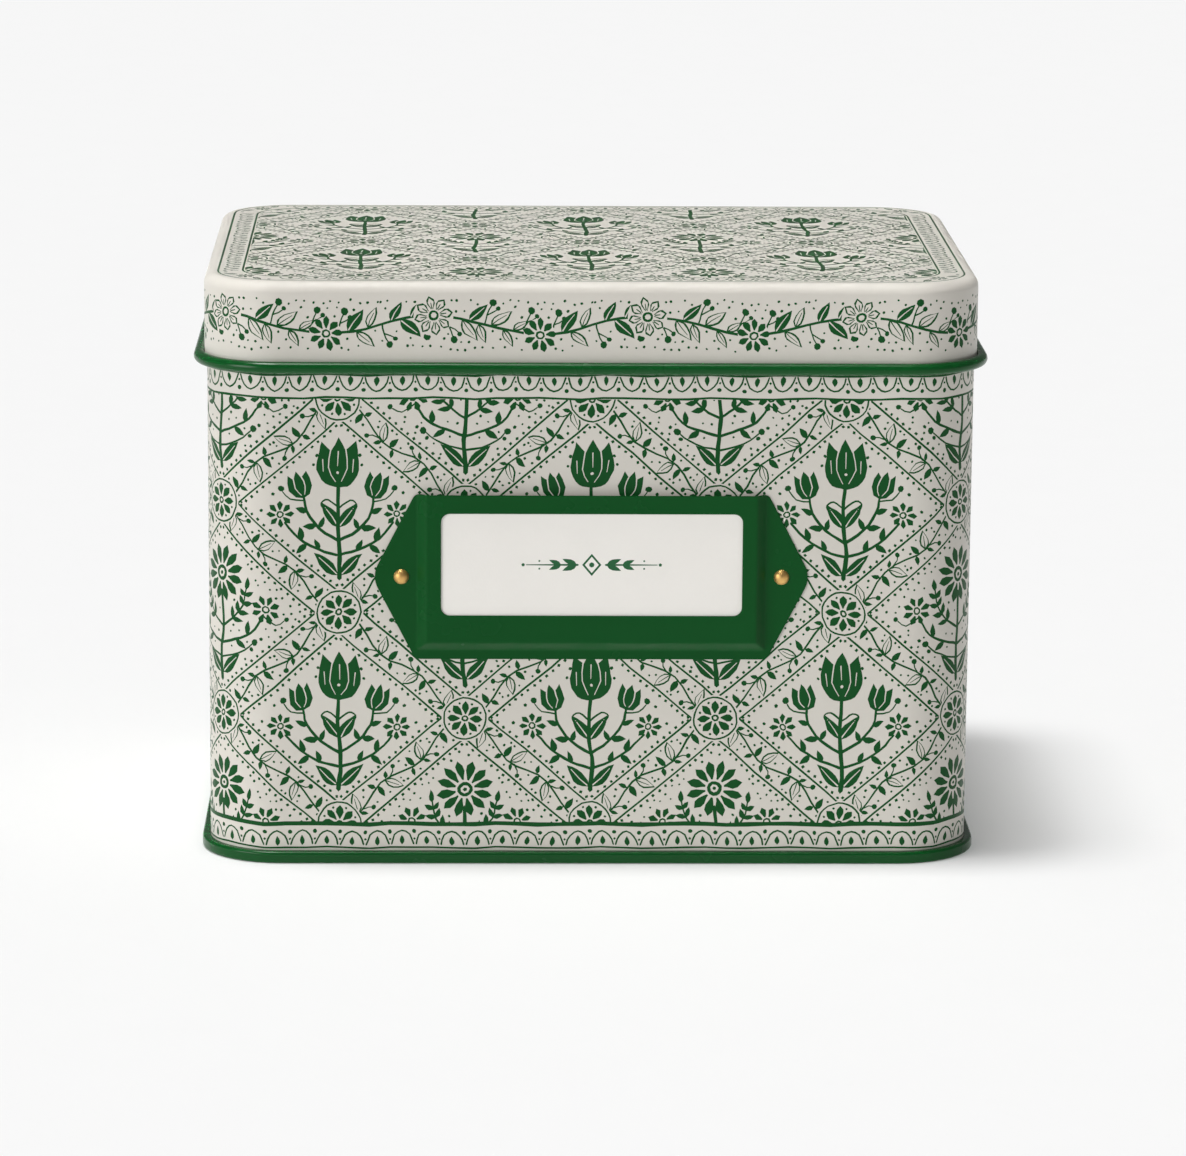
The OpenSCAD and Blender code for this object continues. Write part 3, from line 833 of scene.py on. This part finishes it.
def coat(name, light, dark, rough, grain, bump=0.0, bump_size=.0012, metallic=0.0, specular=.5, blotch=.03,
         stretch=None):
    """A procedural finish: colour from light to dark in soft blotches and grain, gloss that is uneven
    between the two of rough, and a fine relief. Its sizes are in metres."""
    m = bpy.data.materials.new(name)
    m.use_nodes = True
    nt = m.node_tree
    b = nt.nodes["Principled BSDF"]
    b.inputs["Metallic"].default_value = metallic
    b.inputs["Specular IOR Level"].default_value = specular
    where = nt.nodes.new("ShaderNodeTexCoord").outputs["Object"]
    if stretch:
        mapping = nt.nodes.new("ShaderNodeMapping")
        mapping.inputs["Scale"].default_value = stretch
        nt.links.new(where, mapping.inputs["Vector"])
        where = mapping.outputs["Vector"]

    def noise(feature, detail=2.0, fineness=.5):
        n = nt.nodes.new("ShaderNodeTexNoise")
        n.inputs["Scale"].default_value = 1 / feature
        n.inputs["Detail"].default_value = detail
        n.inputs["Roughness"].default_value = fineness
        nt.links.new(where, n.inputs["Vector"])
        return n.outputs["Fac"]

    def spread(fac, lo, hi):
        """The middle of a noise, spread from lo to hi."""
        r = nt.nodes.new("ShaderNodeMapRange")
        r.inputs["From Min"].default_value, r.inputs["From Max"].default_value = .3, .7
        r.inputs["To Min"].default_value, r.inputs["To Max"].default_value = lo, hi
        nt.links.new(fac, r.inputs["Value"])
        return r.outputs["Result"]

    wide, fine = noise(blotch, 3.0), noise(grain, 4.0, .6)
    both = nt.nodes.new("ShaderNodeMath")
    both.operation = "MULTIPLY_ADD"
    both.inputs[1].default_value = .45
    nt.links.new(fine, both.inputs[0])
    nt.links.new(spread(wide, 0.0, .55), both.inputs[2])
    mix = nt.nodes.new("ShaderNodeMix")
    mix.data_type = "RGBA"
    mix.inputs[6].default_value = (*dark, 1)
    mix.inputs[7].default_value = (*light, 1)
    nt.links.new(both.outputs[0], mix.inputs[0])
    nt.links.new(mix.outputs[2], b.inputs["Base Color"])
    nt.links.new(spread(noise(blotch * .4, 3.0), *rough), b.inputs["Roughness"])
    if bump:
        relief = nt.nodes.new("ShaderNodeBump")
        relief.inputs["Strength"].default_value = 1.0
        relief.inputs["Distance"].default_value = bump
        nt.links.new(noise(bump_size), relief.inputs["Height"])
        nt.links.new(relief.outputs["Normal"], b.inputs["Normal"])
    return m


def enamel(name, specular):
    return coat(name, (.0010, .073, .0115), (.0004, .063, .009), (.20, .29), .0012, .00001, .0016,
                specular=specular)


CREAM = coat("cream_coat", (.67, .645, .585), (.63, .60, .545), (.36, .46), .0016, .000012, .0018, specular=.3)
INK = coat("green_ink", (.0055, .080, .0165), (.002, .064, .011), (.34, .44), .0009, .000012, .0018,
           specular=.13)
ENAMEL = enamel("green_enamel", .12)
GLOSS = enamel("green_enamel_rolled", .23)
TIN = coat("lacquered_tin", (.66, .64, .585), (.62, .60, .545), (.36, .42), .0011, .00001, .0012, metallic=.5,
           blotch=.06, stretch=(1, 1, .25))
BRASS = coat("brass", (.78, .50, .19), (.62, .37, .12), (.42, .54), .0004, .00001, .0005, metallic=1.0,
             blotch=.002)
STEEL = coat("hinge_steel", (.60, .60, .61), (.46, .46, .47), (.28, .42), .0006, .00001, .0007, metallic=1.0,
             blotch=.006, stretch=(.2, 1, 1))
CARD = coat("card_stock", (.885, .86, .815), (.85, .825, .78), (.72, .84), .0005, .00002, .0004, specular=.3,
            blotch=.012)
CARD_INK = coat("card_ink", (.018, .13, .045), (.012, .10, .033), (.6, .7), .0005, .00001, .0004, specular=.3)
FLOOR = coat("pale_floor", (.86, .86, .86), (.855, .855, .855), (.8, .9), .004, specular=.2)


# Printed body: the flange in the base, the wall, shoulder, neck and curled mouth

def seam(skin):
    """The folded seam inside the back, on the wall."""
    lap = [(2.5, -.28), (2.5, -.78), (2.38, -.9), (-2.38, -.9), (-2.5, -.78), (-2.5, -.28)]
    foot, top, k = 3.8, 115.95, len(lap)
    a, b = (skin.add_points([(x, CY + R_BODY + y, z) for x, y in lap]) for z in (foot, top))
    for i in range(k):
        j = (i + 1) % k
        x, y = unit_length(np.array([lap[i][1] - lap[j][1], lap[j][0] - lap[i][0]]))
        skin.face([a + i, b + i, b + j, a + j], (x, y, 0), 2)
    skin.face([a + i for i in range(k)], (0, 0, -1), 2)
    skin.face([b + i for i in reversed(range(k))], (0, 0, 1), 2)


def body():
    skin = Skin()
    flange, bare_foot, wall_height, neck, curl = .8, .9, 112.95, 16.513, (.85, 300)
    shoulder = [.143, (.5, 45), 1.75, (.5, -45)]
    path = turn_path(1.0, 1.4, 180, [flange, (.35, -90), bare_foot, wall_height, *shoulder, neck, curl])
    band = longest_step(path[0])
    wall = Sheet(skin, path, R_BODY, stations(R_BODY, 10), lambda i, side: 0 if side > 0 else 2)
    wall.sides(band)
    wall.edge(0, -1)
    wall.edge(wall.n - 1, 1)
    wall.print_on(band, body_art())
    seam(skin)
    return skin


tin_body = body().make("tin_body", [CREAM, INK, TIN])
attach(tin_body, "box")
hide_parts("body_wall")


# Printed lid: rolled bead, skirt with two notches for the hinge, top edge and top

def lid():
    skin = Skin()
    notch = (36.4, 51.6)
    bead_x, bead_r, start = 1.1, 1.25, math.radians(130)
    notched, bare, skirt_height, top_bend = 1.91, .24, 14.8, (2.35, 90)
    path = turn_path(bead_x + bead_r * math.cos(start), BEAD_Z + bead_r * math.sin(start), 40,
                     [(bead_r, -310), notched, bare, skirt_height, top_bend])
    band = longest_step(path[0])
    # At the notches the sheet starts above the bead, on this row
    rows = band - 1
    cols = stations(R_LID, 12, notch)
    mid, _ = ring_at((cols[1:] + cols[:-1]) / 2, R_LID)
    cut = [(j, rows) for j, (x, y) in enumerate(mid) if y > CY - 1 and notch[0] < abs(x) < notch[1]]
    skirt = Sheet(skin, path, R_LID, cols, lambda i, side: 3 if i < rows - 1 else 0 if side > 0 else 2, cut)
    skirt.sides(band)
    skirt.edge(0, -1)
    skirt.cut_edges()
    skirt.print_on(band, skirt_art(), (.01, .18, .15))

    border = skirt.c + skirt.d * R_TOP
    flat, same, tris, inks = cut_up(border, top_art())
    new = skin.add_points(np.column_stack([flat, np.full(len(flat), LID_TOP)]))
    ids = [new + q if b < 0 else skirt.row(skirt.n - 1) + b for q, b in enumerate(same)]
    for tri, ink in zip(tris, inks):
        skin.face([ids[q] for q in tri], (0, 0, 1), ink, [from_above(*flat[q], .5 * ink) for q in tri])
    under = [skirt.row(skirt.n - 1, -1) + j for j in reversed(range(skirt.m))]
    uv = [(.01 + (x + MAP_X) / (2 * MAP_X) * .4, .985 + (y + MAP_Y) / (2 * MAP_Y) * .01)
          for x, y in border[::-1]]
    skin.face(under, (0, 0, -1), 2, uv)
    return skin


tin_lid = lid().make("tin_lid", [CREAM, INK, TIN, GLOSS])
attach(tin_lid, "lid")
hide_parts("lid_shell")


# Base: rim rolled round the wall's flange, then the pressed panel, lacquered inside

def base():
    skin = Skin()
    bend, riser = (.55, -90), 2.35
    path = turn_path(.12, 2.65, 0, [1.08, bend, 1.4, bend, 1.2, bend, riser, (.3, 90)])
    last = len(path[0]) - 1
    # From here on the riser and its upper bend are lacquered inside, as the panel is
    inner = last - 7
    rim = Sheet(skin, path, R_BODY, stations(R_BODY, 10), lambda i, side: 1 if side > 0 and i >= inner else 0)
    rim.sides()
    rim.edge(0, -1)
    r = R_BODY + path[0][last][0]
    c, d = ring_at(rim.cols[:rim.m], r)
    for side, material, shift in ((1, 1, 0), (-1, 0, .5)):
        ids = [rim.row(last, side) + j for j in range(rim.m)[::side]]
        skin.face(ids, (0, 0, side), material, [from_above(x, y, shift) for x, y in (c + d * r)[::side]])
    return skin


tin_base = base().make("tin_base", [GLOSS, TIN])
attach(tin_base, "box")
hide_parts("base_panel")


# Pressed label frame, open at the top: a raised face with slopes at the sides and the foot, and flat wings

FRAME_SHEET, RISE, RUN = .4, 2.6, 2.5
FACE_X, FACE_FOOT, FRAME_FOOT, FRAME_TOP = 40.4, 50.1, 48.3, 87
WINDOW_X, WINDOW_FOOT, WINDOW_TOP = 34.5, 58.95, 82.75


def soft_min(a, b, k):
    """The smaller of a and b, eased where they differ by less than k."""
    h = np.clip(.5 + (b - a) / (2 * k), 0, 1)
    return b + (a - b) * h - k * h * (1 - h)


def frame_height(x, z):
    """How far the frame's front stands out from the wall."""
    side = RISE * (FACE_X - np.abs(x)) / RUN
    foot = RISE * (z - FACE_FOOT) / RUN
    up = soft_min(soft_min(side, foot, .45), RISE + 0 * x, .35)
    return -soft_min(-up, -FRAME_SHEET + 0 * x, .3)


def label_frame():
    skin = Skin()
    wing_x, rivet_x, rivet_hole = 50.4, 43.6, 1.05
    mid = (FRAME_TOP + FRAME_FOOT) / 2
    outline = rounded([(FACE_X, FRAME_TOP, 2.0), (-FACE_X, FRAME_TOP, 2.0), (-wing_x, mid, 6.0),
                       (-FACE_X, FRAME_FOOT, 2.0), (FACE_X, FRAME_FOOT, 2.0), (wing_x, mid, 6.0)])
    window = rounded_box(-WINDOW_X, WINDOW_FOOT, WINDOW_X, WINDOW_TOP, 2.0)
    holes = [window] + [disc(s * rivet_x, mid, rivet_hole, n=20)[0][0] for s in (1, -1)]
    # Cuts along the bends at the sides and at the foot
    folds = [((s * x, 47.0), (s * x, 88.0)) for x in np.arange(36.6, 41.6, .28) for s in (1, -1)]
    folds += [((-42.5, z), (42.5, z)) for z in np.arange(49.4, 53.8, .25)]
    plate(skin, outline, holes, [], folds, frame_height, FRAME_SHEET, -(CY + R_BODY), (0, 0, 0))
    return skin


pocket = label_frame().make("pocket_frame", [ENAMEL])
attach(pocket, "box")
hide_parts("label_frame")


# Card behind the window, with a small printed ornament

def index_card():
    skin = Skin()
    lo, hi = (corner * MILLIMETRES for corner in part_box("label_card"))
    outline = rounded_box(lo.x, lo.z, hi.x, hi.z, .8)
    art = put(card_art(), 0, (WINDOW_TOP + WINDOW_FOOT) / 2)
    thick = hi.y - lo.y
    plate(skin, outline, [], art, [], lambda x, z: 0 * x + thick, thick, hi.y, (0, 1, 0))
    return skin


card = index_card().make("index_card", [CARD, CARD_INK])
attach(card, "box")
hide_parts("label_card")

# Nodes that keep their shape
for names, finish in ((("label_rivet_left", "label_rivet_right"), BRASS),
                      (("hinge_strap_left", "hinge_strap_right", "hinge_rivets", "hinge_wire"), STEEL)):
    for name in names:
        for place in frame["nodes"][name].material_slots:
            place.material = finish


# Floor, lights and camera

me = bpy.data.meshes.new("floor")
me.from_pydata([(-6, -6, 0), (6, -6, 0), (6, 6, 0), (-6, 6, 0)], [], [(0, 1, 2, 3)])
me.materials.append(FLOOR)
floor = bpy.data.objects.new("floor", me)
bpy.context.scene.collection.objects.link(floor)

scene = bpy.context.scene
scene.view_settings.view_transform = "Standard"
world = bpy.data.worlds.new("studio")
scene.world = world
world.use_nodes = True
world.node_tree.nodes["Background"].inputs["Color"].default_value = (1, 1, 1, 1)
world.node_tree.nodes["Background"].inputs["Strength"].default_value = .20


def sun(name, toward, angle, strength, only=None, shadow=True):
    """A sun that shines along toward, on the objects in only or on all of them."""
    light = bpy.data.lights.new(name, "SUN")
    light.angle, light.energy = angle, strength
    light.use_shadow = light.cycles.use_multiple_importance_sampling = shadow
    ob = bpy.data.objects.new(name, light)
    ob.rotation_mode = "QUATERNION"
    ob.rotation_quaternion = Vector(toward).to_track_quat("-Z", "Y")
    ob.light_linking.receiver_collection = only
    scene.collection.objects.link(ob)


# Some of the light is for the box alone and some for the floor alone, so the floor stays pale beside it
box_parts, floor_parts = bpy.data.collections.new("box_parts"), bpy.data.collections.new("floor_parts")
for ob in bpy.data.objects:
    if ob.type == "MESH":
        (floor_parts if ob is floor else box_parts).objects.link(ob)
sun("overhead_near", (.12, .02, -.985), .24, 1.07)
sun("overhead_far", (.25, .02, -.97), .24, 1.05)
sun("overhead_box", (.17, .02, -.985), .34, .80, box_parts)
sun("side", (.76, .61, -.183), .6, 1.70, box_parts)
sun("floor_bounce", (0, -.17, .985), 1.2, .5, box_parts, False)
sun("floor_fill", (0, 0, -1), .2, .79, floor_parts, False)

# The camera as fitted to the photo: the photo's width, the focal length and the column of the lens's
# middle in pixels, its place in metres and its turns in radians
PHOTO_WIDTH, FOCAL, LENS_COLUMN = 1186, 5356, 585.85
SENSOR = 36
STAND = (-.03048, -1.26505, .32197)
YAW, PITCH, ROLL = -.0243, .2088, .0072

cam = bpy.data.cameras.new("camera")
cam.sensor_width, cam.lens = SENSOR, FOCAL * SENSOR / PHOTO_WIDTH
cam.shift_x = (PHOTO_WIDTH / 2 - LENS_COLUMN) / PHOTO_WIDTH
cam.clip_start, cam.clip_end = .05, 30
camera = bpy.data.objects.new("camera", cam)
level_right = Vector((math.cos(YAW), math.sin(YAW), 0))
ahead = Vector((-math.sin(YAW) * math.cos(PITCH), math.cos(YAW) * math.cos(PITCH), -math.sin(PITCH)))
level_up = Vector((-math.sin(YAW) * math.sin(PITCH), math.cos(YAW) * math.sin(PITCH), math.cos(PITCH)))
right = level_right * math.cos(ROLL) + level_up * math.sin(ROLL)
up = level_up * math.cos(ROLL) - level_right * math.sin(ROLL)
camera.matrix_world = Matrix.Translation(STAND) @ Matrix((right, up, -ahead)).transposed().to_4x4()
scene.collection.objects.link(camera)
scene.camera = camera
